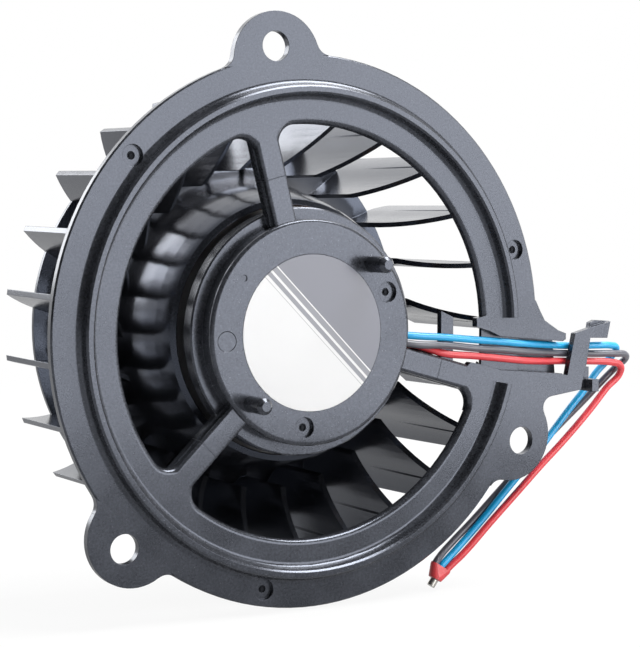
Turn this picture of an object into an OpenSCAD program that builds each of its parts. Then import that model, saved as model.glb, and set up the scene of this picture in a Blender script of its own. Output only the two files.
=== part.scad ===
// Backward-curved blower fan: a spoked mounting bracket that carries an external-rotor motor, and a moulded
// impeller round the rotor. Millimetres, the fan's axis along Y, the inlet side facing -Y, +Z up.
// Every module is drawn in the fan's own frame first (axis along z, front face of the flange at z = 0, the
// inlet side towards +z) and turned once, at the bottom of the file.

/* [Flange] */
// Outer radius of the flange ring
flange_r = 75; // [74:0.5:77]
// Inner radius of the flange ring, which is the edge of the three windows
window_r = 56.3; // [55.5:0.1:57]
// Thickness of the flange plate
flange_t = 2.3; // [2:0.1:2.6]
// Radius of the rounding along the windows' front edges
window_round = 1.6; // [0.8:0.1:2]
// Height of the sealing bead above the flange's face
bead_h = 3.3; // [2:0.1:4]

/* [Mounting ears] */
// Radius of the circle that the three screw holes lie on
ear_hole_circle = 77.4; // [76.5:0.1:78.5]
// Radius of a screw hole
ear_hole_r = 4; // [3:0.1:4.5]
// Radius of an ear's round end
ear_r = 13; // [12:0.5:14]
// Radius of the fillets between an ear and the ring
ear_fillet = 4; // [2:0.5:6]

/* [Hub and spokes] */
// Radius of the hub's lower wall
hub_r = 34; // [33:0.5:34.5]
// Height of the hub's face above the flange's face
hub_rise = 1; // [0.5:0.1:2]
// Wall thickness of the hub
hub_wall = 2.5; // [2:0.1:3]
// Width of a spoke at its front face
spoke_w = 6.8; // [6:0.1:8]
// Depth of a spoke
spoke_depth = 5.2; // [4:0.1:5.5]
// Radius of the fillets where a spoke meets the ring
spoke_fillet = 5; // [3:0.5:6]
// Radius of the two locating pins
pin_r = 2.25; // [2:0.05:2.5]
// Height of the pins' tips above the flange's face
pin_top = 10; // [8:0.5:12]
// Radius of the disc on the hub's face
disc_r = 21.25; // [20:0.25:22]

/* [Impeller] */
// Number of blades
blade_n = 23; // [17:2:23]
// Thickness of a blade
blade_t = 1.4; // [1.2:0.1:1.8]
// Radius of both arcs of a blade's camber
blade_bend = 35.5; // [34:0.5:38]
// Radius at which the camber changes its side
blade_turn_r = 57.4; // [56.5:0.1:58]
// Angle between a blade and the radius where the camber changes its side
blade_set = 11.1; // [9:0.1:13]
// Inner radius of the blades
blade_in_r = 45.3; // [44.5:0.1:46]
// Outer radius of the blades at the back
blade_out_r = 67.4; // [66:0.1:68]
// Radius of the rotor bell at its front rim
bell_r = 38.2; // [37.8:0.1:38.6]

/* [Motor] */
// Radius of the steel rotor cup
cup_r = 36.2; // [35.8:0.1:36.2]
// Radius of the stator's teeth
stator_r = 31; // [30:0.1:31.2]
// Number of stator teeth
tooth_n = 9; // [9:3:9]
// Radius of the shaft
shaft_r = 2.5; // [2:0.1:3]

/* [Wires] */
// Outer diameter of each of the three wires
wire_d = 2.1; // [1.9:0.05:2.15]

/* [Hidden] */
$fn = 96;

// Angles of the features round the axis, counted from the right
free_spoke_angles = [104.5, 224.5];
right_spoke_angle = 344.5;
free_ear_angles = [98.2, 224.7];
right_ear_angle = 334.5;
ear_angles = concat(free_ear_angles, [right_ear_angle]);
gate_angles = [18.2, 138.2, 258.2];
gate_r = 70.4;
mark_r = 2.85;
mark_depth = 1.2;
mark_pit_r = 1.05;
mark_pit_depth = 0.45;
mark_stub_r = 0.45;
hub_mark_angles = [24.3, 264.3];
hub_mark_r = 25.8;
hub_dimple_angle = 144.3;
dimple_r = 0.9;
dimple_depth = 0.3;
disc_seat = 0.15;
disc_t = 0.2;
pin_places = [[26, 45], [26.4, 224.2]];
pin_tip_r = 1.3;
pin_chamfer = 1.1;

// Colours as the eye sees them
plastic_dark = [0.25, 0.27, 0.3];
steel = [0.7, 0.71, 0.73];
copper = [0.72, 0.4, 0.2];
resin_white = [0.85, 0.84, 0.8];

// Levels along the axis
ledge_z = -4.5;
hub_back_z = -9;
board_z = -6;
board_t = 1.6;
stack_front_z = -14;
stack_back_z = -34;
rotor_front_z = -12;
cup_back_z = -45.4;
bell_back_z = -47.5;
rim_z = -54.6;
blade_front_z = -3.9;
blade_root_front_z = -22.6;
ear_center = 73.7;
// Step left where a fillet would meet another curve at no angle at all
fillet_step = 0.04;

// Bearings, the size of a common 5 x 16 x 5 ball bearing
bearing_r = 8;
bearing_w = 5;
front_bearing_z = -10;
rear_bearing_z = -35;
race_in_r = 4.15;
race_out_r = 6.65;
ball_circle = 5.4;
ball_r = 1.4;
ball_n = 8;
race_fit = 0.05;
tube_r = 9.2;

// Cord routes in the fan's frame: from the board, through the hub's notch and the cable guide, back round
// the right ear and down to the sleeve
blue_route = [[22, -1.3, -4.8], [27, -1.5, -4.3], [31, -1.7, -2.5], [36, -2.1, -1.4], [43.5, -2.6, -1],
    [54, -3.6, -0.85], [64, -4.5, -0.85], [71, -5.2, -1], [76, -5.6, -1.9], [81, -6, -3],
    [86, -6.4, -3.6], [93, -6.7, -3.8], [100.5, -6.8, -3.8], [105.3, -7, -4.1], [108.2, -7.7, -5.1],
    [109, -9.3, -6.6], [106.6, -11.7, -7], [102.4, -15.2, -7], [98.2, -19.8, -6.7], [92.3, -25.6, -6.6],
    [86.1, -31.8, -6.2], [78, -39.2, -5], [70.2, -46.8, -5.4], [60, -57.2, -6.1], [51, -64.8, -5.7],
    [46.8, -67.9, -5.1], [45.7, -68.8, -5], [45.2, -69.7, -5]];
black_route = [[22, -4, -4.8], [27, -4, -3.9], [31, -4, -1.8], [36, -4.5, -0.7], [43.5, -4.8, -0.85],
    [54, -6, -0.85], [64, -6.8, -0.85], [71, -7.5, -1], [76, -7.9, -1.9], [81, -8.3, -3],
    [86, -8.7, -3.6], [93, -9, -3.8], [100.5, -9.3, -3.7], [107, -9.5, -3.6], [111, -10, -4.2],
    [112.2, -11.4, -5.6], [110.4, -13.2, -6.5], [107.4, -15.6, -6.8], [103.4, -19, -7.1],
    [98.2, -23.8, -7.9], [90.5, -30.3, -8.6], [82, -37, -8.4], [74.5, -43.2, -8.1], [67.8, -49, -8],
    [58, -57.4, -7.9], [51, -62.6, -7.3], [46, -66, -6], [43.8, -67.7, -5], [43.3, -68.6, -5]];
red_route = [[22, -6.7, -4.8], [27, -6.2, -4.9], [31, -4.9, -4.3], [35, -4.6, -3.4],
    [38.5, -5.6, -2.95], [43.5, -7.1, -1.4], [54, -8.2, -0.85], [64, -9.3, -0.85], [71, -10.1, -1],
    [76, -10.5, -1.9], [81, -10.8, -3], [86, -11, -3.6], [93, -11.3, -3.8], [100.6, -11.6, -3.5],
    [105, -12, -3.2], [108.3, -13, -3.2], [109.1, -14.8, -3.8], [104.2, -19.9, -4.4], [98.2, -26, -4.4],
    [88.3, -35, -4.4], [80, -41.9, -4.4], [72.8, -48.2, -4.4], [62.3, -57.4, -4.5], [53, -65.8, -4.7],
    [48.9, -69, -5], [47.6, -70.1, -5], [47.1, -71, -5]];
sleeve_top = [45.7, -68.8, -5];
sleeve_low = [43.6, -72.2, -5];
ferrule_low = [42.2, -74.1, -5];

// Quarter of a circle from angle a to angle b, as points for an outline
function arc(c, r, a, b, n = 6) =
    [for (i = [0:n]) let (t = a + (b - a) * i / n) c + r * [cos(t), sin(t)]];

// Copies at given angles round the axis
module around(angles) {
    for (a = angles)
        rotate([0, 0, a]) children();
}

// Flange ring: a flat plate with rounded window edge and a small outer chamfer
module flange_ring() {
    chamfer = 0.4;
    rotate_extrude($fn = 180)
        polygon(concat(
            [[window_r, -flange_t]],
            arc([window_r + window_round, -window_round], window_round, 180, 90),
            [[flange_r - chamfer, 0], [flange_r, -chamfer], [flange_r, -flange_t]]));
}

// Sealing bead: a raised rib with concave feet, open over the cable guide
module bead() {
    crest_in = 64.6;
    crest_out = 66.3;
    foot = 1.6;
    gap_start = -14.5;
    gap_end = 2.3;
    rotate([0, 0, gap_end])
        rotate_extrude(angle = 360 - gap_end + gap_start, $fn = 180)
            polygon(concat(
                [[crest_in - foot - 0.6, -0.5]],
                arc([crest_in - foot - 0.6, foot], foot, 270, 360, 5),
                [[crest_in - 0.3, bead_h - 0.5], [crest_in + 0.2, bead_h], [crest_out - 0.2, bead_h],
                    [crest_out + 0.3, bead_h - 0.5]],
                arc([crest_out + foot + 0.6, foot], foot, 180, 270, 5),
                [[crest_out + foot + 0.6, -0.5]]));
}

// Fillet between the ring's outer edge and an ear, on one side of the ear, drawn for an ear on the x axis
module ear_side(side) {
    to_ring = flange_r + ear_fillet;
    to_ear = ear_r + ear_fillet;
    a = acos((ear_center * ear_center + to_ring * to_ring - to_ear * to_ear) / (2 * ear_center * to_ring));
    center = to_ring * [cos(a), side * sin(a)];
    ear_mid = [ear_center, 0];
    difference() {
        polygon([ear_mid, flange_r * [cos(a), side * sin(a)], center,
            ear_mid + ear_r * (center - ear_mid) / to_ear]);
        translate(center) circle(ear_fillet - fillet_step);
    }
}

module ear(sides) {
    translate([0, 0, -flange_t])
        linear_extrude(flange_t) {
            translate([ear_center, 0]) circle(ear_r);
            for (side = sides)
                ear_side(side);
        }
}

// Cross-section of a spoke: rounded front edges, and a shallow step along both walls
module spoke_section() {
    half = spoke_w / 2;
    edge = 0.9;
    polygon(concat(
        [[-half - 0.3, -spoke_depth], [-half - 0.3, -3], [-half, -2.6]],
        arc([-half + edge, -edge], edge, 180, 90, 4),
        arc([half - edge, -edge], edge, 90, 0, 4),
        [[half, -2.6], [half + 0.3, -3], [half + 0.3, -spoke_depth]]));
}

// One side's fillet between a spoke and the ring, with the same rounded edge as the window
module spoke_corner(side) {
    half = spoke_w / 2;
    reach = window_r - spoke_fillet;
    off = half + spoke_fillet;
    along = sqrt(reach * reach - off * off);
    center = [along, side * off];
    touch = center * window_r / reach;
    depth = 2.9;
    difference() {
        translate([0, 0, -depth])
            linear_extrude(depth)
                polygon([[along, side * (half - 1)], center, touch, touch * 1.03,
                    [window_r * 1.03, side * (half - 1)]]);
        translate([center.x, center.y, 0])
            rotate_extrude()
                polygon(concat(
                    [[0, -depth - 1], [spoke_fillet, -depth - 1]],
                    arc([spoke_fillet + window_round, -window_round], window_round, 180, 90),
                    [[spoke_fillet + window_round, 1], [0, 1]]));
    }
}

// Spoke: runs from the hub's wall to the ring, its back rising where the blades pass behind it
module spoke(sides) {
    start = 29.6;
    end = 58.5;
    clear_r = 54;
    strip_end = 42.8;
    strip_in = 0.35;
    difference() {
        union() {
            translate([start, 0, 0])
                rotate([90, 0, 90])
                    linear_extrude(end - start) spoke_section();
            for (side = sides)
                spoke_corner(side);
        }
        translate([0, 20, 0])
            rotate([90, 0, 0])
                linear_extrude(40)
                    polygon([[clear_r, -spoke_depth - 1], [clear_r, -spoke_depth], [window_r, -4.2],
                        [window_r + 1, -flange_t], [end + 3, -flange_t], [end + 3, -spoke_depth - 1]]);
        for (side = [-1, 1])
            translate([start, side * spoke_w / 2 - strip_in, -2.4])
                cube([strip_end - start, 2 * strip_in, 1.3]);
    }
}

// Hub: a shallow cup with a tapered upper wall and a ledge
module hub() {
    face_r = 29.8;
    taper_r = 31.8;
    round_r = 1.4;
    rotate_extrude()
        polygon(concat(
            [[0, hub_rise]],
            arc([face_r - 0.2, hub_rise - round_r], round_r, 90, 8),
            [[taper_r, ledge_z], [hub_r - 0.4, ledge_z], [hub_r, ledge_z - 0.4], [hub_r, hub_back_z],
                [hub_r - 2.2, hub_back_z], [hub_r - 2.2, -6.6], [29.4, -6.2], [28.6, hub_rise - hub_wall],
                [0, hub_rise - hub_wall]]));
}

// Round boss that holds the bearing tube, and the posts that carry the board
module hub_inside() {
    top = hub_rise - hub_wall + 0.5;
    boss_low = -5.2;
    post_r = 1.8;
    post_circle = 24.4;
    translate([0, 0, boss_low])
        difference() {
            cylinder(h = top - boss_low, r = 11.4);
            translate([0, 0, -1]) cylinder(h = 4.2, r = tube_r);
        }
    around([80, 200, 320])
        translate([post_circle, 0, board_z]) cylinder(h = top - board_z, r = post_r);
}

module pin() {
    base = hub_rise - 0.5;
    rotate_extrude($fn = 48)
        polygon([[0, base], [pin_r, base], [pin_r, pin_top - pin_chamfer], [pin_tip_r, pin_top],
            [0, pin_top]]);
}

// Outline of the channel between the two arms of the cable guide
channel_upper = [[54.1, 0.1], [58.6, -1.2], [62.1, -2.8], [84.5, -4.9]];
channel_lower = [[82.1, -14.2], [62.2, -12.5], [55.5, -10.6]];

module channel_outline() {
    polygon(concat(channel_upper, channel_lower));
}

// Upper arm: starts as a tongue inside the window and ends as a round nose beyond the flange
module upper_arm() {
    plate = [[54, 2.6], [54.1, 0.1], [58.6, -1.2], [62.1, -2.8], [84.5, -4.9], [85.6, -4.3], [85.6, -2.6],
        [82.7, -1.6], [77.9, 1.4], [76.1, 4.4], [74.6, 7.3], [60, 7], [57, 3.2]];
    wall = [[62.1, -2.8], [84.5, -4.9], [84.7, -3.3], [62.3, -1.2]];
    translate([0, 0, -flange_t])
        linear_extrude(flange_t) polygon(plate);
    translate([0, 0, -5])
        linear_extrude(3) polygon([[69, -3.45], [84.5, -4.9], [84.7, -3.3], [69, -1.8]]);
    translate([0, 0, -3.2])
        linear_extrude(1.5) polygon(wall);
}

// Lower arm: grows out of the right spoke, carries the post and joins the right ear in a fillet
module lower_arm() {
    ear_mid = ear_center * [cos(right_ear_angle), sin(right_ear_angle)];
    corner_r = 3.3;
    corner_way = [cos(27.7), sin(27.7)];
    corner = ear_mid + (ear_r + corner_r) * corner_way;
    edge_slope = 7.7;
    edge_start = corner + corner_r * [-sin(edge_slope), cos(edge_slope)];
    edge_end = edge_start + 11 * [cos(edge_slope), sin(edge_slope)];
    plate = [[50.6, -11.2], [52.1, -9.9], [55.5, -10.6], [62.2, -12.5], [82.1, -14.2], [86.1, -14.9],
        [92, -16.2], edge_end, edge_start, corner, ear_mid + ear_r * corner_way, ear_mid, [58, -15.5]];
    translate([0, 0, -flange_t])
        linear_extrude(flange_t)
            difference() {
                polygon(plate);
                translate(corner) circle(corner_r - fillet_step);
            }
    translate([0, 0, -7.2])
        linear_extrude(6) polygon([[69, -13.1], [85.4, -14.5], [85.4, -16.1], [69, -14.7]]);
}

// Floor of the channel: thin and shallow over the impeller, deeper outside it
module channel_floor() {
    step_x = 69;
    translate([0, 0, -3.2])
        linear_extrude(1.1)
            polygon([[57, -0.6], [62.1, -2.6], [step_x + 1, -3.2], [step_x + 1, -13.3], [62, -12.7],
                [57, -11.2]]);
    translate([0, 0, -7.2])
        linear_extrude(1.9)
            polygon([[step_x, -3.3], [84.6, -4.7], [85.6, -14.8], [step_x, -13.2]]);
    translate([0, 0, -7.2])
        linear_extrude(4.6)
            polygon([[step_x, -3.3], [step_x + 1.4, -3.4], [step_x + 1.4, -13.4], [step_x, -13.2]]);
}

// Post with a hooked head, which passes in front of the wires and keeps them in the guide
module cable_post() {
    leg_depth = 2.1;
    head_back = -3.7;
    translate([0, 0, -leg_depth])
        linear_extrude(leg_depth)
            polygon([[86.3, -15.2], [89, -2.7], [94.8, -1.2], [102, 0.5], [100.9, -4.4], [94.6, -4.2],
                [93.3, -11.7], [92, -16.6]]);
    translate([0, 0, head_back])
        linear_extrude(-head_back - leg_depth + 0.2)
            polygon([[94.9, -4.3], [95.6, -1.5], [95.9, 0.2], [97.8, 0.9], [103.1, 0.5], [102, -4.4]]);
}

// Small catch beyond the tip of the lower arm, on a bar that passes behind the arm
module cable_catch() {
    back = -4.4;
    catch_w = 2.4;
    translate([94, -20, back])
        cube([catch_w, 3.6, 1.9 - back]);
    translate([89.5, -19.4, back])
        cube([4.8, 2.8, -flange_t - back + 0.2]);
    translate([95.3, -16.5, back - 1.3])
        cube([1.8, 3.4, 1.8]);
}

// Finger that stands on the right spoke and carries the wires across the window
module wire_finger() {
    translate([0, 0, -4.6])
        linear_extrude(2)
            polygon([[43.6, -14], [43.6, 4.8], [47.7, 3], [47.7, -14]]);
}

// Round mark of the moulding tool: a recess, and a pit with a stub in the middle of its floor
module tool_mark_cut(face_z) {
    translate([0, 0, face_z - mark_depth]) {
        cylinder(h = mark_depth + 1, r = mark_r, $fn = 48);
        translate([0, 0, -mark_pit_depth])
            difference() {
                cylinder(h = mark_pit_depth + 0.5, r = mark_pit_r, $fn = 32);
                translate([0, 0, -1]) cylinder(h = mark_pit_depth + 0.9, r = mark_stub_r, $fn = 24);
            }
    }
}

// Opening in the hub's wall for the three wires
module wire_notch() {
    translate([27.8, -7.2, -6])
        cube([7, 7, 5.7]);
}

module bracket() {
    color(plastic_dark)
        difference() {
            union() {
                difference() {
                    union() {
                        flange_ring();
                        bead();
                        around(free_ear_angles) ear([-1, 1]);
                        around([right_ear_angle]) ear([-1]);
                    }
                    translate([0, 0, -flange_t - 1])
                        linear_extrude(flange_t + bead_h + 2) channel_outline();
                }
                around(free_spoke_angles) spoke([-1, 1]);
                around([right_spoke_angle]) spoke([-1]);
                hub();
                hub_inside();
                upper_arm();
                lower_arm();
                channel_floor();
                cable_post();
                cable_catch();
                wire_finger();
                for (p = pin_places)
                    rotate([0, 0, p[1]]) translate([p[0], 0, 0]) pin();
            }
            around(ear_angles)
                translate([ear_hole_circle, 0, -flange_t - 1]) cylinder(h = flange_t + 2, r = ear_hole_r);
            around(gate_angles)
                translate([gate_r, 0, 0]) tool_mark_cut(0);
            around(hub_mark_angles)
                translate([hub_mark_r, 0, 0]) tool_mark_cut(hub_rise);
            rotate([0, 0, hub_dimple_angle])
                translate([hub_mark_r, 0, hub_rise - dimple_depth]) cylinder(h = 1, r = dimple_r, $fn = 32);
            translate([0, 0, hub_rise - disc_seat]) cylinder(h = 1, r = disc_r + 0.1);
            wire_notch();
        }
}

// Thin bare disc set in the hub's face
module hub_disc() {
    color([0.82, 0.83, 0.85])
        translate([0, 0, hub_rise - disc_seat]) cylinder(h = disc_t, r = disc_r);
}

// Tube that carries both bearings, with an inner shoulder between them
module bearing_tube() {
    front = -2;
    back = -36;
    shoulder_r = 6.6;
    shoulder_front = front_bearing_z;
    shoulder_back = rear_bearing_z + bearing_w + 0.6;
    color([0.76, 0.62, 0.33])
        rotate_extrude()
            polygon([[bearing_r, front], [tube_r, front], [tube_r, back], [bearing_r, back],
                [bearing_r, shoulder_back], [shoulder_r, shoulder_back], [shoulder_r, shoulder_front],
                [bearing_r, shoulder_front]]);
}

module circuit_board() {
    color([0.1, 0.35, 0.2])
        translate([0, 0, board_z - board_t])
            difference() {
                cylinder(h = board_t, r = 29);
                translate([0, 0, -1]) cylinder(h = board_t + 2, r = tube_r + 0.4);
            }
}

module capacitor() {
    color([0.75, 0.76, 0.78])
        translate([-19, 4, board_z]) {
            translate([-3.3, -3.3, 0]) cube([6.6, 6.6, 0.6]);
            cylinder(h = 4, r = 3.1, $fn = 48);
        }
}

module driver_chip(x, y) {
    color([0.12, 0.12, 0.13])
        translate([x, y, board_z]) {
            translate([-2.5, -2, 0.3]) cube([5, 4, 1.4]);
            for (i = [0:3], s = [-1, 1])
                translate([-2 + i * 1.27, s * 2.4 - 0.4, 0]) cube([0.4, 0.8, 0.7]);
        }
}

module driver_chip_a() {
    driver_chip(6, -18);
}

module driver_chip_b() {
    driver_chip(-6, -18);
}

// Three position sensors on the back of the board, near the front of the magnets
module hall_sensors() {
    color([0.15, 0.15, 0.16])
        around([20, 60, 100])
            translate([25, -1.5, board_z - board_t - 1.2]) cube([2, 3, 1.2]);
}

// Outline of the stator's laminations: a ring, teeth and the shoes at their ends
module stator_outline() {
    yoke_r = 14;
    tooth_w = 4.6;
    shoe_in = stator_r - 2.2;
    slot_w = 2.6;
    difference() {
        union() {
            circle(yoke_r);
            for (i = [0:tooth_n - 1])
                rotate([0, 0, i * 360 / tooth_n])
                    translate([0, -tooth_w / 2]) square([stator_r - 1, tooth_w]);
            difference() {
                circle(stator_r);
                circle(shoe_in);
                for (i = [0:tooth_n - 1])
                    rotate([0, 0, (i + 0.5) * 360 / tooth_n])
                        translate([0, -slot_w / 2]) square([stator_r + 2, slot_w]);
            }
        }
        circle(tube_r);
    }
}

module stator_core() {
    color(steel)
        translate([0, 0, stack_back_z])
            linear_extrude(stack_front_z - stack_back_z) stator_outline();
}

// Moulded end cap of the stator
module insulator(low) {
    color(resin_white)
        translate([0, 0, low])
            linear_extrude(1)
                difference() {
                    stator_outline();
                    circle(tube_r + 0.3);
                }
}

module insulator_front() {
    insulator(stack_front_z);
}

module insulator_rear() {
    insulator(stack_back_z - 1);
}

// Winding of one tooth: a rounded bar with the tooth's section taken out of it
module coil(i) {
    half_w = 5.1;
    over = 3;
    clear = 0.15;
    tooth_half = 2.3 + clear;
    core_top = stack_front_z + 1 + clear;
    core_low = stack_back_z - 1 - clear;
    low = core_low - over;
    tall = core_top - core_low + 2 * over;
    bend = 2;
    color(copper)
        rotate([0, 0, i * 360 / tooth_n])
            translate([17.6, 0, 0])
                rotate([90, 0, 90])
                    linear_extrude(9.4)
                        difference() {
                            union() {
                                translate([-half_w, low + bend]) square([2 * half_w, tall - 2 * bend]);
                                translate([-half_w + bend, low]) square([2 * (half_w - bend), tall]);
                                for (s = [-1, 1], z = [low + bend, low + tall - bend])
                                    translate([s * (half_w - bend), z]) circle(bend, $fn = 32);
                            }
                            translate([-tooth_half, core_low]) square([2 * tooth_half, core_top - core_low]);
                        }
}

module bearing_outer(low) {
    color(steel)
        translate([0, 0, low])
            difference() {
                cylinder(h = bearing_w, r = bearing_r);
                translate([0, 0, -1]) cylinder(h = bearing_w + 2, r = race_out_r);
                translate([0, 0, bearing_w / 2])
                    rotate_extrude() translate([ball_circle, 0]) circle(ball_r + race_fit, $fn = 32);
            }
}

module bearing_inner(low) {
    color(steel)
        translate([0, 0, low])
            difference() {
                cylinder(h = bearing_w, r = race_in_r);
                translate([0, 0, -1]) cylinder(h = bearing_w + 2, r = shaft_r);
                translate([0, 0, bearing_w / 2])
                    rotate_extrude() translate([ball_circle, 0]) circle(ball_r + race_fit, $fn = 32);
            }
}

module bearing_balls(low) {
    color([0.85, 0.86, 0.88])
        for (i = [0:ball_n - 1])
            rotate([0, 0, i * 360 / ball_n])
                translate([ball_circle, 0, low + bearing_w / 2]) sphere(ball_r, $fn = 24);
}

module front_bearing_outer() {
    bearing_outer(front_bearing_z);
}

module front_bearing_balls() {
    bearing_balls(front_bearing_z);
}

module front_bearing_inner() {
    bearing_inner(front_bearing_z);
}

module rear_bearing_outer() {
    bearing_outer(rear_bearing_z);
}

module rear_bearing_balls() {
    bearing_balls(rear_bearing_z);
}

module rear_bearing_inner() {
    bearing_inner(rear_bearing_z);
}

// Spring washer between the tube's shoulder and the rear bearing
module preload_spring() {
    color(steel)
        translate([0, 0, rear_bearing_z + bearing_w])
            difference() {
                cylinder(h = 0.6, r = bearing_r - 0.1);
                translate([0, 0, -1]) cylinder(h = 3, r = 6.8);
            }
}

// Shaft with a groove for the retaining ring at its front end
shaft_groove_r = 2;
shaft_groove_z = -5;
shaft_groove_w = 0.6;
module shaft() {
    front = -3.4;
    groove_front = shaft_groove_z + shaft_groove_w;
    color(steel)
        rotate_extrude()
            polygon([[0, front], [shaft_r - 0.3, front], [shaft_r, front - 0.3],
                [shaft_r, groove_front], [shaft_groove_r, groove_front], [shaft_groove_r, shaft_groove_z],
                [shaft_r, shaft_groove_z], [shaft_r, cup_back_z], [0, cup_back_z]]);
}

module retaining_ring() {
    color([0.4, 0.4, 0.42])
        translate([0, 0, shaft_groove_z])
            difference() {
                cylinder(h = shaft_groove_w, r = 4);
                translate([0, 0, -1]) cylinder(h = 3, r = shaft_groove_r);
                translate([0, -1, -1]) cube([6, 2, 3]);
            }
}

// Boss pressed into the back of the cup, which holds the shaft
boss_r = 7;
boss_step_r = 5;
cup_t = 1.4;
module rotor_boss() {
    front = -39;
    inside = cup_back_z + cup_t;
    color([0.62, 0.63, 0.65])
        rotate_extrude()
            polygon([[shaft_r, front], [boss_r, front], [boss_r, inside], [boss_step_r, inside],
                [boss_step_r, cup_back_z], [shaft_r, cup_back_z]]);
}

module rotor_cup() {
    front = rotor_front_z - 1;
    bend = 2;
    color([0.55, 0.56, 0.58])
        rotate_extrude()
            polygon(concat(
                [[cup_r - cup_t, front], [cup_r, front]],
                arc([cup_r - bend, cup_back_z + bend], bend, 0, -90, 4),
                [[boss_step_r, cup_back_z], [boss_step_r, cup_back_z + cup_t]],
                arc([cup_r - bend, cup_back_z + bend], bend - cup_t, -90, 0, 4)));
}

// Magnets as one moulded ring against the cup's wall
module magnet_ring() {
    magnet_r = 31.7;
    front = rotor_front_z - 1.6;
    back = -36;
    color([0.2, 0.2, 0.21])
        rotate_extrude()
            polygon([[magnet_r, front], [cup_r - cup_t, front], [cup_r - cup_t, back], [magnet_r, back]]);
}

// Camber line of one blade as a strip of even thickness: two arcs that meet at the turn of the camber
module blade_strip() {
    lead = 2.1;
    turn = blade_turn_r * [cos(lead), sin(lead)];
    inner = 14;
    outer = 13;
    translate(turn)
        rotate([0, 0, lead - blade_set]) {
            intersection() {
                translate([-inner, -3]) square([inner, 9]);
                translate([0, blade_bend])
                    difference() {
                        circle(blade_bend + blade_t / 2, $fn = 240);
                        circle(blade_bend - blade_t / 2, $fn = 240);
                    }
            }
            intersection() {
                translate([0, -6]) square([outer, 9]);
                translate([0, -blade_bend])
                    difference() {
                        circle(blade_bend + blade_t / 2, $fn = 240);
                        circle(blade_bend - blade_t / 2, $fn = 240);
                    }
            }
        }
}

// Space that the blades fill: slanted front edges, a flat front and tips that widen towards the back
module blade_space() {
    rotate_extrude()
        polygon([[blade_in_r, blade_root_front_z], [57.5, blade_front_z], [66.6, blade_front_z],
            [blade_out_r, -54.2], [59, -54.4], [54.2, -53.8], [blade_in_r, -48.2]]);
}

module blades() {
    intersection() {
        for (i = [0:blade_n - 1])
            rotate([0, 0, i * 360 / blade_n])
                translate([0, 0, rim_z])
                    linear_extrude(blade_front_z - rim_z + 1) blade_strip();
        blade_space();
    }
}

// Bell round the rotor cup, flaring into the disc that carries the blades
module bell() {
    wall_low_r = 40.5;
    wall_low_z = -36;
    flare = 2;
    rotate_extrude()
        polygon([[35.3, rotor_front_z - 1], [35.3, rotor_front_z - 0.4], [35.7, rotor_front_z],
            [bell_r - 0.5, rotor_front_z], [bell_r, rotor_front_z - 0.5], [wall_low_r, wall_low_z],
            [41.2, -39.6], [42.6, -43.4], [45.3, -47], [49.4, -50.4], [54.2, -52.8], [59.3, -53.2],
            [59.3, rim_z], [53.6, rim_z], [48.4, -52.2], [44, -49], [40, bell_back_z], [0, bell_back_z],
            [0, cup_back_z], [cup_r, cup_back_z], [cup_r, rotor_front_z - 1]]);
}

module impeller() {
    color(plastic_dark) {
        blades();
        bell();
    }
}

// Tube swept along a route: one ring of points at each place, square to the way from its neighbours
function unit(v) = v / norm(v);
function way(route, i) = unit(route[min(i + 1, len(route) - 1)] - route[max(i - 1, 0)]);
function side_of(w) = unit(cross(w, [0, 0.2, 1]));
module swept_tube(route, d, sides = 8) {
    n = len(route);
    points = [for (i = [0:n - 1], k = [0:sides - 1])
        let (w = way(route, i), s = side_of(w), t = cross(s, w), a = 360 * k / sides)
            route[i] + d / 2 * (cos(a) * s + sin(a) * t)];
    skin = [for (i = [0:n - 2], k = [0:sides - 1])
        let (m = (k + 1) % sides)
            each [[i * sides + k, i * sides + m, (i + 1) * sides + m],
                [i * sides + k, (i + 1) * sides + m, (i + 1) * sides + k]]];
    start = [for (k = [sides - 1:-1:0]) k];
    finish = [for (k = [0:sides - 1]) (n - 1) * sides + k];
    polyhedron(points, concat([start, finish], skin), convexity = 12);
}

module wire_blue() {
    color([0.1, 0.55, 0.85]) swept_tube(blue_route, wire_d);
}

module wire_black() {
    color([0.25, 0.25, 0.27]) swept_tube(black_route, wire_d);
}

module wire_red() {
    color([0.9, 0.25, 0.28]) swept_tube(red_route, wire_d);
}

// Stands its children on one point of the wires' end, pointing at another
module along_end(from, to) {
    w = to - from;
    translate(from)
        rotate([0, acos(w.z / norm(w)), atan2(w.y, w.x)]) children();
}

// Sleeve shrunk over the three wires: flat where they enter side by side, round at the tip
module end_sleeve() {
    long = norm(sleeve_low - sleeve_top);
    wire_gap = 2.2;
    color([0.85, 0.2, 0.22])
        along_end(sleeve_top, sleeve_low)
            hull() {
                for (k = [-1:1])
                    translate([0, k * wire_gap, 0]) cylinder(h = 0.6, r = 1.3, $fn = 24);
                translate([0, 0, long - 0.8]) cylinder(h = 0.8, r = 2, $fn = 32);
            }
}

module end_ferrule() {
    color([0.75, 0.74, 0.7])
        along_end(sleeve_low, ferrule_low)
            translate([0, 0, 0.2])
                cylinder(h = norm(ferrule_low - sleeve_low) - 0.2, r = 1.2, $fn = 48);
}

// Turn from the fan's frame to the part's frame, with the axis level
module stand() {
    rotate([90, 0, 0]) children();
}

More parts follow.
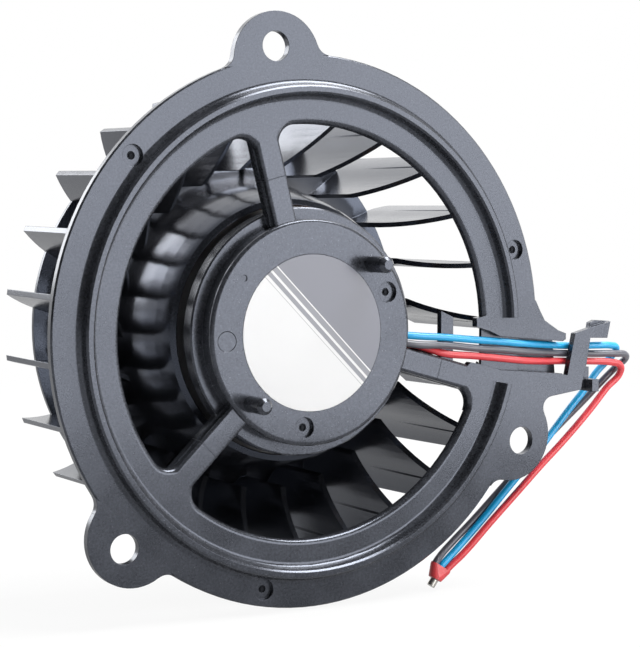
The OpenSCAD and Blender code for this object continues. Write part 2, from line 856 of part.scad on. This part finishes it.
stand() bracket();
stand() hub_disc();
stand() bearing_tube();
stand() circuit_board();
stand() capacitor();
stand() driver_chip_a();
stand() driver_chip_b();
stand() hall_sensors();
stand() stator_core();
stand() insulator_front();
stand() insulator_rear();
stand() coil(0);  // coil_1
stand() coil(1);  // coil_2
stand() coil(2);  // coil_3
stand() coil(3);  // coil_4
stand() coil(4);  // coil_5
stand() coil(5);  // coil_6
stand() coil(6);  // coil_7
stand() coil(7);  // coil_8
stand() coil(8);  // coil_9
stand() front_bearing_outer();
stand() front_bearing_balls();
stand() front_bearing_inner();
stand() rear_bearing_outer();
stand() rear_bearing_balls();
stand() rear_bearing_inner();
stand() preload_spring();
stand() shaft();
stand() retaining_ring();
stand() rotor_boss();
stand() rotor_cup();
stand() magnet_ring();
stand() impeller();
stand() wire_blue();
stand() wire_black();
stand() wire_red();
stand() end_sleeve();
stand() end_ferrule();
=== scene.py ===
import math

import bmesh
import bpy
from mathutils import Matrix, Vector


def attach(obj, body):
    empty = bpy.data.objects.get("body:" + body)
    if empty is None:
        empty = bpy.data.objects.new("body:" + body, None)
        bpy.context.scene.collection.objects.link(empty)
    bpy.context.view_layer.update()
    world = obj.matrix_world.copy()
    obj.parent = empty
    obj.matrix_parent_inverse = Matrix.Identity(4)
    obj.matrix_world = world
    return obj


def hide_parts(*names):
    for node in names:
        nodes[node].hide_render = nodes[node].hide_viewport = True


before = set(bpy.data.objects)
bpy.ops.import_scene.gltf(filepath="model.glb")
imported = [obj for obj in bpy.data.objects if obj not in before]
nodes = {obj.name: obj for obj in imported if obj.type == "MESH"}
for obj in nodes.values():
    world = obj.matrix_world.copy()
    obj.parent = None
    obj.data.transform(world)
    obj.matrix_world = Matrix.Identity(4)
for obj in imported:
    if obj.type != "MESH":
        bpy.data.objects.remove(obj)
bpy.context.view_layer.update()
scene = bpy.context.scene


# Places are written in the fan's own frame, in millimetres: x right, y up, z out of the inlet
def inPart(x, y, z):
    return Vector((x, -z, y)) / 1000


# Camera
cameraView = {
    "eye": (-0.2475, -0.4413, 0.0321),
    "angles": (86.653, -0.184, -29.538),
    "lens": 104.21,
    "near": 0.01,
}


def makeCamera():
    data = bpy.data.cameras.new("camera")
    data.lens = cameraView["lens"]
    data.clip_start = cameraView["near"]
    camera = bpy.data.objects.new("camera", data)
    camera.location = cameraView["eye"]
    camera.rotation_euler = [math.radians(a) for a in cameraView["angles"]]
    scene.collection.objects.link(camera)
    scene.camera = camera


makeCamera()
print("camera placed")


# Node helpers, for the materials and the world
def shaderOf(material):
    return material.node_tree.nodes["Principled BSDF"]


def blankMaterial(name, color, roughness, metallic=0.0, specular=0.5):
    material = bpy.data.materials.new(name)
    material.use_nodes = True
    shader = shaderOf(material)
    shader.inputs["Base Color"].default_value = (*color, 1)
    shader.inputs["Roughness"].default_value = roughness
    shader.inputs["Metallic"].default_value = metallic
    shader.inputs["Specular IOR Level"].default_value = specular
    return material


def addNode(owner, kind, **values):
    node = owner.node_tree.nodes.new(kind)
    for key, value in values.items():
        if key in node.inputs:
            node.inputs[key].default_value = value
        else:
            setattr(node, key, value)
    return node


def join(owner, start, end):
    owner.node_tree.links.new(start, end)


# Joins an output to the socket, or puts a number or three color values in it
def feed(owner, socket, value):
    if isinstance(value, tuple):
        socket.default_value = (*value, 1)
    elif isinstance(value, (int, float)):
        socket.default_value = value
    elif value is not None:
        join(owner, value, socket)


def objectPlace(material):
    return addNode(material, "ShaderNodeTexCoord").outputs["Object"]


def noiseAt(material, place, scale, detail=2.0, roughness=0.5):
    noise = addNode(material, "ShaderNodeTexNoise", Scale=scale, Detail=detail,
                    Roughness=roughness)
    join(material, place, noise.inputs["Vector"])
    return noise.outputs["Fac"]


def rampOn(material, value, stops, interpolation="LINEAR"):
    ramp = addNode(material, "ShaderNodeValToRGB")
    join(material, value, ramp.inputs["Fac"])
    ramp.color_ramp.interpolation = interpolation
    elements = ramp.color_ramp.elements
    while len(elements) < len(stops):
        elements.new(0.5)
    for element, (at, color) in zip(elements, stops):
        element.position = at
        element.color = (*color, 1)
    return ramp.outputs["Color"]


def bumpFrom(material, height, strength, distance, below=None):
    bump = addNode(material, "ShaderNodeBump", Strength=strength, Distance=distance)
    join(material, height, bump.inputs["Height"])
    feed(material, bump.inputs["Normal"], below)
    return bump.outputs["Normal"]


def mathOn(owner, operation, first, second=None, third=None):
    node = addNode(owner, "ShaderNodeMath", operation=operation)
    for socket, value in zip(node.inputs, (first, second, third)):
        feed(owner, socket, value)
    return node.outputs[0]


def mixColor(material, share, first, second):
    mix = addNode(material, "ShaderNodeMix", data_type="RGBA")
    feed(material, mix.inputs[0], share)
    feed(material, mix.inputs[6], first)
    feed(material, mix.inputs[7], second)
    return mix.outputs[2]


# Carries the source range onto the target range, and holds the end values beyond it
def rangeOn(owner, value, source, target):
    node = addNode(owner, "ShaderNodeMapRange")
    join(owner, value, node.inputs["Value"])
    for name, number in zip(("From Min", "From Max", "To Min", "To Max"), (*source, *target)):
        node.inputs[name].default_value = number
    return node.outputs[0]


def axesOf(owner, place):
    split = addNode(owner, "ShaderNodeSeparateXYZ")
    join(owner, place, split.inputs[0])
    return split.outputs


# Distance from the fan's axis
def radiusOf(material, place):
    axes = axesOf(material, place)
    squares = [mathOn(material, "MULTIPLY", axes[name], axes[name]) for name in "XZ"]
    return mathOn(material, "SQRT", mathOn(material, "ADD", *squares))


# 1 inside the two limits and 0 outside, with soft ends of the given width
def between(material, value, low, high, soft):
    rise = rangeOn(material, value, (low - soft, low), (0, 1))
    fall = rangeOn(material, value, (high, high + soft), (1, 0))
    return mathOn(material, "MINIMUM", rise, fall)


# 1 within the given distance of any of the places, and 0 a little further out
def spotsOn(material, place, centres, radius, soft):
    nearest = None
    for centre in centres:
        away = addNode(material, "ShaderNodeVectorMath", operation="DISTANCE")
        join(material, place, away.inputs[0])
        away.inputs[1].default_value = centre
        distance = away.outputs["Value"]
        nearest = distance if nearest is None else mathOn(material, "MINIMUM", nearest, distance)
    return rangeOn(material, nearest, (radius, radius + soft), (1, 0))


# Filled plastic of the bracket and the impeller: nearly black, with a pale sheen, a fine grain
# and a few flecks
bracketLook = {
    "color": (0.046, 0.049, 0.058),
    "darkColor": (0.016, 0.017, 0.02),
    "shadeStops": (0.25, 0.85),
    "fleckColor": (0.16, 0.165, 0.18),
    "fleckScale": 2600.0,
    "fleckStops": (0.72, 0.78),
    "roughness": 0.22,
    "roughSpread": 0.04,
    "roughSource": (0.6, 1.4),
    "specular": 0.8,
    "specularTint": (0.78, 0.84, 1.0),
    "cloudScale": 90.0,
    "speckleScale": 1500.0,
    "speckleShare": 1.8,
    "grainScale": 2600.0,
    "grainBump": 0.1,
    "grainDepth": 0.0001,
    "waveScale": 140.0,
    "waveBump": 0.06,
    "waveDepth": 0.0004,
    "edge": 0.0002,
    "edgeSamples": 8,
}
impellerLook = {
    **bracketLook,
    "color": (0.02, 0.021, 0.025),
    "darkColor": (0.008, 0.0085, 0.01),
    "fleckColor": (0.03, 0.032, 0.036),
    "roughness": 0.2,
    "specularTint": (0.68, 0.77, 1.0),
}


def mouldedPlastic(name, look, addLines):
    material = blankMaterial(name, look["color"], look["roughness"], specular=look["specular"])
    shader = shaderOf(material)
    shader.inputs["Specular Tint"].default_value = (*look["specularTint"], 1)
    place = objectPlace(material)
    cloud = noiseAt(material, place, look["cloudScale"], detail=3.0)
    speckle = noiseAt(material, place, look["speckleScale"], detail=3.0, roughness=0.7)
    fleck = noiseAt(material, place, look["fleckScale"], detail=1.0)
    grain = noiseAt(material, place, look["grainScale"])
    waves = noiseAt(material, place, look["waveScale"], detail=1.0)

    # Clouds and speckles choose between the two tones, and the flecks lie on them
    uneven = mathOn(material, "SUBTRACT", speckle, 0.5)
    worn = mathOn(material, "MULTIPLY_ADD", uneven, look["speckleShare"], cloud)
    low, high = look["shadeStops"]
    shade = rampOn(material, worn, [(low, look["darkColor"]), (high, look["color"])])
    low, high = look["fleckStops"]
    fleckMask = rampOn(material, fleck, [(low, (0, 0, 0)), (high, (1, 1, 1))])
    tone = mixColor(material, fleckMask, shade, look["fleckColor"])

    smoothest = look["roughness"] - look["roughSpread"]
    roughest = look["roughness"] + look["roughSpread"]
    both = mathOn(material, "ADD", cloud, grain)
    rough = rangeOn(material, both, look["roughSource"], (smoothest, roughest))

    # Soft edges first, then the waves and the grain over them
    bevel = addNode(material, "ShaderNodeBevel", Radius=look["edge"], samples=look["edgeSamples"])
    edges = bevel.outputs["Normal"]
    wavy = bumpFrom(material, waves, look["waveBump"], look["waveDepth"], edges)
    normal = bumpFrom(material, grain, look["grainBump"], look["grainDepth"], wavy)

    tone, rough, normal = addLines(material, place, tone, rough, normal)
    join(material, tone, shader.inputs["Base Color"])
    join(material, rough, shader.inputs["Roughness"])
    join(material, normal, shader.inputs["Normal"])
    return material


# Marks of the moulding tool: a small round mark with a pit, whose inside gets a painted shade, a
# larger round mark on the hub, and thin seams across the spokes. A pit is given by its angle, its
# distance from the axis and the height of the face.
toolMarks = {
    "pits": [(18.2, 70.4, 0), (138.2, 70.4, 0), (258.2, 70.4, 0),
        (24.3, 25.8, 1), (264.3, 25.8, 1)],
    "pitDepth": 1.45,
    "pitRadius": 0.00095,
    "roundMark": (-26, -1.6, 1),
    "roundRadius": 0.0026,
    "roundDepth": 0.0005,
    "soft": 0.0002,
    "seamRadius": 0.043,
    "seamWidth": 0.0001,
    "seamSoft": 0.00008,
    "seamShare": 0.7,
    # Painted shade in the pits, and the colour of the seams
    "color": (0.002, 0.002, 0.002),
    "roughMore": 0.6,
}


def pitPlace(angle, radius, face):
    turn = math.radians(angle)
    height = face - toolMarks["pitDepth"]
    return inPart(radius * math.cos(turn), radius * math.sin(turn), height)


def markBracketAndShadePits(material, place, tone, rough, normal):
    marks = toolMarks
    # Painted shade fills each pit; the seams are drawn with the same dark colour
    pitPlaces = [pitPlace(*values) for values in marks["pits"]]
    pitShadeMask = spotsOn(material, place, pitPlaces, marks["pitRadius"], marks["soft"])
    start = marks["seamRadius"]
    radius = radiusOf(material, place)
    seam = between(material, radius, start, start + marks["seamWidth"], marks["seamSoft"])
    thinSeam = mathOn(material, "MULTIPLY", seam, marks["seamShare"])
    pitShadeAndSeam = mathOn(material, "MAXIMUM", pitShadeMask, thinSeam)
    tone = mixColor(material, pitShadeAndSeam, tone, marks["color"])
    either = mathOn(material, "MAXIMUM", pitShadeMask, seam)
    rough = mathOn(material, "MULTIPLY_ADD", either, marks["roughMore"], rough)
    roundPlace = inPart(*marks["roundMark"])
    sunk = spotsOn(material, place, [roundPlace], marks["roundRadius"], marks["soft"])
    raised = mathOn(material, "SUBTRACT", 1, sunk)
    normal = bumpFrom(material, raised, 1.0, marks["roundDepth"], normal)
    return tone, rough, normal


# Thin dark line along each blade near its tip, which fades backwards, with a lighter strip outside
tipLine = {
    "radius": 0.06,
    "width": 0.0005,
    "soft": 0.0002,
    "reach": (0.014, 0.04),
    "color": (0.001, 0.001, 0.001),
    "stripColor": (0.03, 0.031, 0.036),
    "roughMore": 0.7,
}


def lineBlades(material, place, tone, rough, normal):
    start, soft = tipLine["radius"], tipLine["soft"]
    radius = radiusOf(material, place)
    near = rangeOn(material, axesOf(material, place)["Y"], tipLine["reach"], (1, 0))
    ring = between(material, radius, start, start + tipLine["width"], soft)
    line = mathOn(material, "MULTIPLY", ring, near)
    strip = rangeOn(material, radius, (start, start + soft), (0, 1))
    tone = mixColor(material, strip, tone, tipLine["stripColor"])
    tone = mixColor(material, line, tone, tipLine["color"])
    rough = mathOn(material, "MULTIPLY_ADD", line, tipLine["roughMore"], rough)
    return tone, rough, normal


# Smooth plastic of the wires, end caps, board and chips: faint clouds and scuffs
insulationLook = {
    "roughness": 0.34,
    "specular": 0.8,
    "cloudScale": 220.0,
    "cloudStops": (0.3, 0.75),
    "darkShare": 0.86,
    "scuffScale": 900.0,
    "scuffBump": 0.15,
    "scuffDepth": 0.0001,
}


def insulation(name, color):
    look = insulationLook
    material = blankMaterial(name, color, look["roughness"], specular=look["specular"])
    shader = shaderOf(material)
    place = objectPlace(material)
    cloud = noiseAt(material, place, look["cloudScale"], detail=3.0)
    darker = tuple(c * look["darkShare"] for c in color)
    low, high = look["cloudStops"]
    tint = rampOn(material, cloud, [(low, darker), (high, color)])
    join(material, tint, shader.inputs["Base Color"])
    scuff = noiseAt(material, place, look["scuffScale"])
    normal = bumpFrom(material, scuff, look["scuffBump"], look["scuffDepth"])
    join(material, normal, shader.inputs["Normal"])
    return material


# Metal, with its grain drawn out by three scales; each stop has its share of the roughness
metalLook = {
    "roughStops": [(0.25, 0.75), (0.75, 1.25)],
    "grainDepth": 0.0001,
}


def workedMetal(name, color, roughness, grainScale=(400, 400, 400), bump=0.1):
    material = blankMaterial(name, color, roughness, metallic=1.0)
    shader = shaderOf(material)
    stretch = addNode(material, "ShaderNodeMapping", Scale=grainScale)
    join(material, objectPlace(material), stretch.inputs["Vector"])
    grain = noiseAt(material, stretch.outputs["Vector"], 1.0, detail=3.0)
    stops = [(at, (roughness * share,) * 3) for at, share in metalLook["roughStops"]]
    join(material, rampOn(material, grain, stops), shader.inputs["Roughness"])
    normal = bumpFrom(material, grain, bump, metalLook["grainDepth"])
    join(material, normal, shader.inputs["Normal"])
    return material


# Cords: the same routes as the solids'
wireWidth = 0.0021
wireLook = {
    "blue": {
        "color": (0.006, 0.42, 0.82),
        "route": [(22, -1.3, -4.8), (27, -1.5, -4.3), (31, -1.7, -2.5), (36, -2.1, -1.4),
            (43.5, -2.6, -1), (54, -3.6, -0.85), (64, -4.5, -0.85), (71, -5.2, -1), (76, -5.6, -1.9),
            (81, -6, -3), (86, -6.4, -3.6), (93, -6.7, -3.8), (100.5, -6.8, -3.8), (105.3, -7, -4.1),
            (108.2, -7.7, -5.1), (109, -9.3, -6.6), (106.6, -11.7, -7), (102.4, -15.2, -7),
            (98.2, -19.8, -6.7), (92.3, -25.6, -6.6), (86.1, -31.8, -6.2), (78, -39.2, -5),
            (70.2, -46.8, -5.4), (60, -57.2, -6.1), (51, -64.8, -5.7), (46.8, -67.9, -5.1),
            (45.7, -68.8, -5), (45.2, -69.7, -5)],
    },
    "black": {
        "color": (0.11, 0.11, 0.135),
        "route": [(22, -4, -4.8), (27, -4, -3.9), (31, -4, -1.8), (36, -4.5, -0.7),
            (43.5, -4.8, -0.85), (54, -6, -0.85), (64, -6.8, -0.85), (71, -7.5, -1), (76, -7.9, -1.9),
            (81, -8.3, -3), (86, -8.7, -3.6), (93, -9, -3.8), (100.5, -9.3, -3.7), (107, -9.5, -3.6),
            (111, -10, -4.2), (112.2, -11.4, -5.6), (110.4, -13.2, -6.5), (107.4, -15.6, -6.8),
            (103.4, -19, -7.1), (98.2, -23.8, -7.9), (90.5, -30.3, -8.6), (82, -37, -8.4),
            (74.5, -43.2, -8.1), (67.8, -49, -8), (58, -57.4, -7.9), (51, -62.6, -7.3), (46, -66, -6),
            (43.8, -67.7, -5), (43.3, -68.6, -5)],
    },
    "red": {
        "color": (0.82, 0.05, 0.065),
        "route": [(22, -6.7, -4.8), (27, -6.2, -4.9), (31, -4.9, -4.3), (35, -4.6, -3.4),
            (38.5, -5.6, -2.95), (43.5, -7.1, -1.4), (54, -8.2, -0.85), (64, -9.3, -0.85),
            (71, -10.1, -1), (76, -10.5, -1.9), (81, -10.8, -3), (86, -11, -3.6), (93, -11.3, -3.8),
            (100.6, -11.6, -3.5), (105, -12, -3.2), (108.3, -13, -3.2), (109.1, -14.8, -3.8),
            (104.2, -19.9, -4.4), (98.2, -26, -4.4), (88.3, -35, -4.4), (80, -41.9, -4.4),
            (72.8, -48.2, -4.4), (62.3, -57.4, -4.5), (53, -65.8, -4.7), (48.9, -69, -5),
            (47.6, -70.1, -5), (47.1, -71, -5)],
    },
}


def makeWire(colorName, color, route):
    curve = bpy.data.curves.new(f"wire_{colorName}_run", "CURVE")
    curve.dimensions = "3D"
    curve.bevel_depth = wireWidth / 2
    curve.bevel_resolution = 5
    curve.resolution_u = 8
    curve.use_fill_caps = True
    spline = curve.splines.new("BEZIER")
    spline.bezier_points.add(len(route) - 1)
    for point, place in zip(spline.bezier_points, route):
        point.co = inPart(*place)
        point.handle_left_type = "AUTO"
        point.handle_right_type = "AUTO"
    wire = bpy.data.objects.new(f"wire_{colorName}_run", curve)
    scene.collection.objects.link(wire)
    curve.materials.append(insulation(f"{colorName}Insulation", color))
    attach(wire, "stator")
    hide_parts(f"wire_{colorName}")
    bpy.context.view_layer.update()


for colorName, values in wireLook.items():
    makeWire(colorName, **values)


# Bright disc in the hub with a painted reflection: white on one side and grey on the other, with
# straight lines between, painted as the studio mirrored in it. Each band has a tone and the place
# in millimetres where it starts.
discReflectionLook = {
    "roughness": 0.3,
    "specular": 1.0,
    "white": (0.66, 0.66, 0.665),
    "greyPaintedReflection": (0.15, 0.155, 0.185),
    "line": (0.3, 0.3, 0.31),
    "farGreyPaintedReflection": (0.08, 0.086, 0.125),
    "reach": 22,
    "bands": [("white", -22), ("line", 0.2), ("white", 0.5), ("greyPaintedReflection", 1.25), ("white", 2.45),
        ("greyPaintedReflection", 3.15), ("white", 4.8), ("farGreyPaintedReflection", 5.15)],
}


def discPaintedReflection():
    look = discReflectionLook
    color, roughness = look["white"], look["roughness"]
    material = blankMaterial("discPaintedReflection", color, roughness, specular=look["specular"])
    axes = axesOf(material, objectPlace(material))
    both = mathOn(material, "ADD", axes["X"], axes["Z"])
    across = mathOn(material, "MULTIPLY", both, math.sqrt(0.5))
    share = mathOn(material, "MULTIPLY_ADD", across, 0.5 * 1000 / look["reach"], 0.5)
    # The bands are painted reflection, laid across the disc
    stops = [(0.5 * start / look["reach"] + 0.5, look[tone]) for tone, start in look["bands"]]
    tint = rampOn(material, share, stops, "CONSTANT")
    join(material, tint, shaderOf(material).inputs["Base Color"])
    return material


# Finishes of the CAD nodes
nodeFinishes = [
    (mouldedPlastic("bracketPlastic", bracketLook, markBracketAndShadePits), ["bracket"]),
    (mouldedPlastic("impellerPlastic", impellerLook, lineBlades), ["impeller"]),
    (discPaintedReflection(), ["hub_disc"]),
    (workedMetal("groundSteel", (0.62, 0.63, 0.65), 0.3), [
        "front_bearing_outer", "front_bearing_balls", "front_bearing_inner",
        "rear_bearing_outer", "rear_bearing_balls", "rear_bearing_inner",
        "preload_spring", "shaft", "retaining_ring", "stator_core"]),
    (workedMetal("darkenedSteel", (0.035, 0.036, 0.04), 0.45), ["rotor_cup"]),
    (workedMetal("turnedBrass", (0.7, 0.52, 0.24), 0.35, (2000, 100, 2000)), ["bearing_tube"]),
    (workedMetal("castZinc", (0.5, 0.51, 0.53), 0.5), ["rotor_boss"]),
    (workedMetal("tinnedCopper", (0.66, 0.64, 0.6), 0.35, (900, 900, 900), 0.3), ["end_ferrule"]),
    (workedMetal("copperWindings", (0.7, 0.32, 0.12), 0.35, (300, 2500, 300), 0.4), [
        f"coil_{index}" for index in range(1, 10)]),
    (workedMetal("canAluminium", (0.8, 0.81, 0.83), 0.3), ["capacitor"]),
    (insulation("whiteNylon", (0.75, 0.74, 0.7)), ["insulator_front", "insulator_rear"]),
    (insulation("solderMask", (0.03, 0.2, 0.09)), ["circuit_board"]),
    (insulation("chipResin", (0.03, 0.03, 0.035)), [
        "driver_chip_a", "driver_chip_b", "hall_sensors"]),
    (insulation("ferrite", (0.06, 0.06, 0.065)), ["magnet_ring"]),
    (insulation("sleeveRed", (0.72, 0.05, 0.06)), ["end_sleeve"]),
]
for material, names in nodeFinishes:
    for name in names:
        mesh = nodes[name].data
        mesh.materials.clear()
        mesh.materials.append(material)
print("finishes set")


# Merged copy of a node, cut at some heights, with its points moved by a rule from one distance
# and height to another
copyMaking = {
    "mergeWithin": 0.000001,
    "sharpAngle": 28,
    "flatWeight": 70,
}


def reshapedCopy(nodeName, pieceName, body, cuts, rule):
    shape = bmesh.new()
    shape.from_mesh(nodes[nodeName].data)
    within = copyMaking["mergeWithin"]
    bmesh.ops.remove_doubles(shape, verts=shape.verts, dist=within)
    for height in cuts:
        geometry = shape.verts[:] + shape.edges[:] + shape.faces[:]
        bmesh.ops.bisect_plane(shape, geom=geometry, plane_co=(0, -height / 1000, 0),
                               plane_no=(0, 1, 0), dist=within)
    for vert in shape.verts:
        radius = math.hypot(vert.co.x, vert.co.z) * 1000
        moved = rule(radius, -vert.co.y * 1000)
        if moved is not None:
            newRadius, newHeight = moved
            vert.co = (vert.co.x * newRadius / radius, -newHeight / 1000,
                       vert.co.z * newRadius / radius)
    shape.normal_update()
    for face in shape.faces:
        face.smooth = True
    for edge in shape.edges:
        edge.smooth = edge.calc_face_angle(math.pi) < math.radians(copyMaking["sharpAngle"])
    mesh = bpy.data.meshes.new(pieceName)
    shape.to_mesh(mesh)
    shape.free()
    mesh.attributes.remove(mesh.attributes["custom_normal"])
    mesh.materials.append(nodes[nodeName].data.materials[0])
    piece = bpy.data.objects.new(pieceName, mesh)
    scene.collection.objects.link(piece)
    normals = piece.modifiers.new("flatFaces", "WEIGHTED_NORMAL")
    normals.keep_sharp = True
    normals.weight = copyMaking["flatWeight"]
    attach(piece, body)
    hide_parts(nodeName)


# Hub wall drawn in a little towards its ledge
hubWall = {
    "inner": 29.45,
    "outer": 31.95,
    "top": 0.6,
    "foot": -4.5,
    "slack": 0.05,
    "drawnIn": 1.2,
}


def hubRule(radius, height):
    inWall = hubWall["inner"] < radius < hubWall["outer"]
    if not inWall or not hubWall["foot"] - hubWall["slack"] < height < hubWall["top"]:
        return None
    share = (hubWall["top"] - height) / (hubWall["top"] - hubWall["foot"])
    return radius - hubWall["drawnIn"] * share, height


# Front of the rotor bell: a thin rounded rim close round the hub, then a widening wall behind it
bell = {
    "rimBack": -13.1,
    "rimInner": 34.4,
    "rimOuter": 36.7,
    "rimDrop": 0.9,
    "solidInner": 35.3,
    "solidOuter": 38.2,
    "slack": 0.1,
    "wallCuts": (-14.2, -15.5, -18, -22, -28),
    "wallInner": 38,
    "wallOuter": 41,
    "wallBack": -36.0,
    "wallBackRadius": 40.5,
    "wallBulge": 1.0,
}


def bellRule(radius, height):
    if radius > bell["wallOuter"] or height < bell["wallBack"] + bell["slack"]:
        return None
    if height > bell["rimBack"] and radius > bell["solidInner"] - bell["slack"]:
        share = (radius - bell["solidInner"]) / (bell["solidOuter"] - bell["solidInner"])
        rimRadius = bell["rimInner"] + share * (bell["rimOuter"] - bell["rimInner"])
        return rimRadius, height - bell["rimDrop"] * share ** 2
    if radius < bell["wallInner"]:
        return None
    share = (bell["rimBack"] - height) / (bell["rimBack"] - bell["wallBack"])
    straight = bell["rimOuter"] + share * (bell["wallBackRadius"] - bell["rimOuter"])
    return straight + bell["wallBulge"] * 4 * share * (1 - share), height


reshapedCopy("bracket", "bracket_moulding", "stator", (), hubRule)
reshapedCopy("impeller", "impeller_moulding", "rotor", bell["wallCuts"],
             bellRule)
print("mouldings made")


# Floor: camera rays and mirror-like rays meet white, the latter weaker near the fan and stronger
# in a patch in front at the right, and a little of the grey floor shows in it for the shadow
floorLook = {
    "height": -0.0755,
    "size": 6.0,
    "color": (0.45, 0.45, 0.45),
    "roughness": 0.9,
    "whiteShare": 0.86,
    "whiteStrength": 1.06,
    "fade": (0.12, 0.7),
    "nearReach": (0.13, 0.2),
    "nearMore": (-0.52, -0.24),
    "sheen": 6.0,
    "sheenReach": (0.38, 0.5),
    "sheenEnd": (0.62, 0.95),
    "sheenRight": (-0.1, 0.1),
    "sheenFront": (-0.1, -0.3),
}


def makeFloor():
    look = floorLook
    mesh = bpy.data.meshes.new("floor")
    shape = bmesh.new()
    bmesh.ops.create_grid(shape, x_segments=1, y_segments=1, size=look["size"] / 2)
    bmesh.ops.translate(shape, verts=shape.verts, vec=(0, 0, look["height"]))
    shape.to_mesh(mesh)
    shape.free()
    floor = bpy.data.objects.new("floor", mesh)
    scene.collection.objects.link(floor)

    material = blankMaterial("paleFloor", look["color"], look["roughness"], specular=0.0)
    place = objectPlace(material)
    axes = axesOf(material, place)
    away = addNode(material, "ShaderNodeVectorMath", operation="LENGTH")
    join(material, place, away.inputs[0])
    distance = away.outputs["Value"]
    rays = addNode(material, "ShaderNodeLightPath").outputs

    # Strength of the white, and what mirror-like rays get more or less of it
    fade = rangeOn(material, distance, look["fade"], (0, 1))
    full = look["whiteStrength"]
    strength = mathOn(material, "MULTIPLY_ADD", fade, 1 - full, full)
    # The floor glows in this patch though it is no lamp: only mirror-like rays see it, and it gives
    # the mouldings their sheen
    sheen = rangeOn(material, distance, look["sheenReach"], (0, look["sheen"]))
    right = rangeOn(material, axes["X"], look["sheenRight"], (0, 1))
    front = rangeOn(material, axes["Y"], look["sheenFront"], (0, 1))
    end = rangeOn(material, distance, look["sheenEnd"], (1, 0))
    for factor in (right, front, end):
        sheen = mathOn(material, "MULTIPLY", sheen, factor)
    near = rangeOn(material, distance, look["nearReach"], look["nearMore"])
    mirrored = mathOn(material, "ADD", sheen, near)
    more = mathOn(material, "MULTIPLY", rays["Is Glossy Ray"], mirrored)
    white = addNode(material, "ShaderNodeEmission")
    join(material, mathOn(material, "ADD", strength, more), white.inputs["Strength"])

    share = mathOn(material, "MULTIPLY_ADD", fade, 1 - look["whiteShare"], look["whiteShare"])
    seen = mathOn(material, "MAXIMUM", rays["Is Camera Ray"], rays["Is Glossy Ray"])
    blend = addNode(material, "ShaderNodeMixShader")
    join(material, mathOn(material, "MULTIPLY", seen, share), blend.inputs[0])
    join(material, shaderOf(material).outputs[0], blend.inputs[1])
    join(material, white.outputs[0], blend.inputs[2])
    output = material.node_tree.nodes["Material Output"]
    join(material, blend.outputs[0], output.inputs["Surface"])
    mesh.materials.append(material)


# World: white for the camera, and for other rays bright behind, above and at the right
worldLook = {
    "behind": {"axis": "Y", "source": (0.1, 0.5), "target": (0.06, 1.0)},
    "above": {"axis": "Z", "source": (0.1, 0.3), "target": (1.0, 1.45)},
    "left": {"axis": "X", "source": (-0.92, -0.8), "target": (0.1, 1.0)},
    "right": {"axis": "X", "source": (0.62, 0.8), "target": (0.0, 1.1)},
    "cameraStrength": 1.0,
}


def makeWorld():
    world = bpy.data.worlds.new("studio")
    scene.world = world
    world.use_nodes = True
    axes = axesOf(world, addNode(world, "ShaderNodeTexCoord").outputs["Generated"])

    def side(name):
        look = worldLook[name]
        return rangeOn(world, axes[look["axis"]], look["source"], look["target"])

    high = mathOn(world, "MULTIPLY", side("behind"), side("above"))
    back = mathOn(world, "MULTIPLY", high, side("left"))
    strength = addNode(world, "ShaderNodeMix")
    rays = addNode(world, "ShaderNodeLightPath").outputs
    join(world, rays["Is Camera Ray"], strength.inputs[0])
    join(world, mathOn(world, "MAXIMUM", back, side("right")), strength.inputs[2])
    strength.inputs[3].default_value = worldLook["cameraStrength"]
    background = world.node_tree.nodes["Background"]
    background.inputs["Color"].default_value = (1, 1, 1, 1)
    join(world, strength.outputs[0], background.inputs["Strength"])


# Lamps, each aimed at the middle of the flange's face
lamps = {
    "keyLamp": {"place": (0.7, -1.25, 0.25), "size": 1.02, "power": 11.6},
    "rimLamp": {"place": (-0.55, 1.0, 0.5), "size": 0.8, "power": 7.0},
    "topLamp": {"place": (0.5, -0.2, 1.1), "size": 0.8, "power": 26.0},
}


def makeLamp(name, place, size, power):
    data = bpy.data.lights.new(name, "AREA")
    data.shape = "DISK"
    data.size = size
    data.energy = power
    lamp = bpy.data.objects.new(name, data)
    lamp.location = place
    lamp.rotation_euler = (-Vector(place)).to_track_quat("-Z", "Y").to_euler()
    scene.collection.objects.link(lamp)


makeFloor()
makeWorld()
for name, values in lamps.items():
    makeLamp(name, **values)
print("studio set")

scene.view_settings.view_transform = "Standard"
